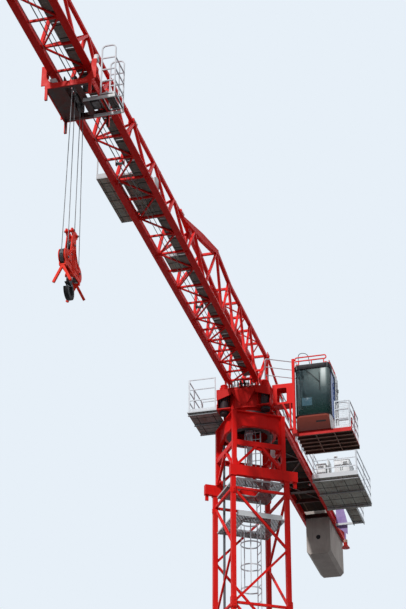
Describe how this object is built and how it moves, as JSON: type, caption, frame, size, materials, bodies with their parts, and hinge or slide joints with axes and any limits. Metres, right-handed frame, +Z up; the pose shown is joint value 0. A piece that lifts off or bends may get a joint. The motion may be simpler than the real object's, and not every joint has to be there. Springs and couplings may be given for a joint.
{
  "type": "tower crane, scale model 1:2",
  "caption": "Flat-top tower crane with a laced mast, slewing trolley jib, counter-jib with concrete weights, operator's cab and hook block.",
  "frame": {"origin": "centre of the mast on the ground, on the underside of the base frame's crossed beams", "axes": "+Z up along the mast, +X along the jib at rest, +Y to the side that carries the cab"},
  "size_m": [24.171, 2.902, 16.418],
  "materials": {
    "red_paint": "semi-gloss, weathered",
    "dark_red_paint": "satin, weathered",
    "galvanised": "matt zinc",
    "dark_steel": "oiled",
    "cable_sheath": "matt",
    "white_paint": "satin",
    "window_glass": "clear, tinted",
    "seat_cover": "woven",
    "concrete": "cast, painted grey-blue concrete",
    "panel_paint": "satin",
    "black_paint": "satin"
  },
  "bodies": {
    "tower": {"base_frame": "red_paint", "mast_legs": "red_paint", "mast_side_1": "red_paint", "mast_side_2": "red_paint", "mast_side_3": "red_paint", "mast_side_4": "red_paint", "mast_ladders": "galvanised", "rest_platforms": "galvanised", "power_cable": "cable_sheath", "collar_beams": "red_paint", "tower_head": "red_paint", "slew_ring": "dark_steel"},
    "superstructure": {"turret_frame": "dark_red_paint", "slew_motors": "red_paint", "service_platform": "galvanised", "service_rails": "galvanised", "a_frame": "red_paint", "counter_jib_ties": "red_paint", "cab_bracket": "red_paint", "cab_platform": "dark_red_paint", "cab_walkway_rails": "galvanised", "cab_shell": "white_paint", "cab_windows": "window_glass", "cab_seat": "seat_cover", "cab_roof_rails": "red_paint", "counter_jib_girders": "red_paint", "counter_jib_deck": "galvanised", "counter_jib_rails": "galvanised", "hoist_winch": "dark_steel", "switchgear_platform": "galvanised", "switchgear_cabinets": "white_paint", "switchgear_rails": "galvanised", "counterweights": "concrete", "bare_panel": "panel_paint", "jib_chord_left": "red_paint", "jib_chord_right": "red_paint", "jib_top_chord": "red_paint", "jib_side_left": "red_paint", "jib_side_right": "red_paint", "jib_bottom_lacing": "red_paint", "jib_walkway": "galvanised", "jib_platforms": "galvanised", "trolley_winch": "white_paint", "jib_tip": "red_paint"},
    "trolley": {"trolley_frame": "red_paint", "trolley_wheels": "dark_steel", "trolley_sheaves": "dark_steel", "trolley_basket": "galvanised", "hoist_ropes": "dark_steel"},
    "hook_block": {"block_frame": "red_paint", "block_sheaves": "dark_steel"},
    "hook": {"hook": "black_paint"}
  },
  "joints": [
    {"name": "slewing", "type": "hinge", "parent": "tower", "child": "superstructure", "pos_m": [0, 0, 14.59], "axis": [0, 0, 1], "continuous": true},
    {"name": "trolley_travel", "type": "slide", "parent": "superstructure", "child": "trolley", "axis": [1, 0, 0], "range_m": [-7.8, 5.8]},
    {"name": "hoisting", "type": "slide", "parent": "trolley", "child": "hook_block", "axis": [0, 0, 1], "range_m": [-11.2, 2], "deforming": ["hoist_ropes"]},
    {"name": "hook_swivel", "type": "hinge", "parent": "hook_block", "child": "hook", "pos_m": [9.78, 0, 12.072], "axis": [0, 0, 1], "continuous": true}
  ]
}
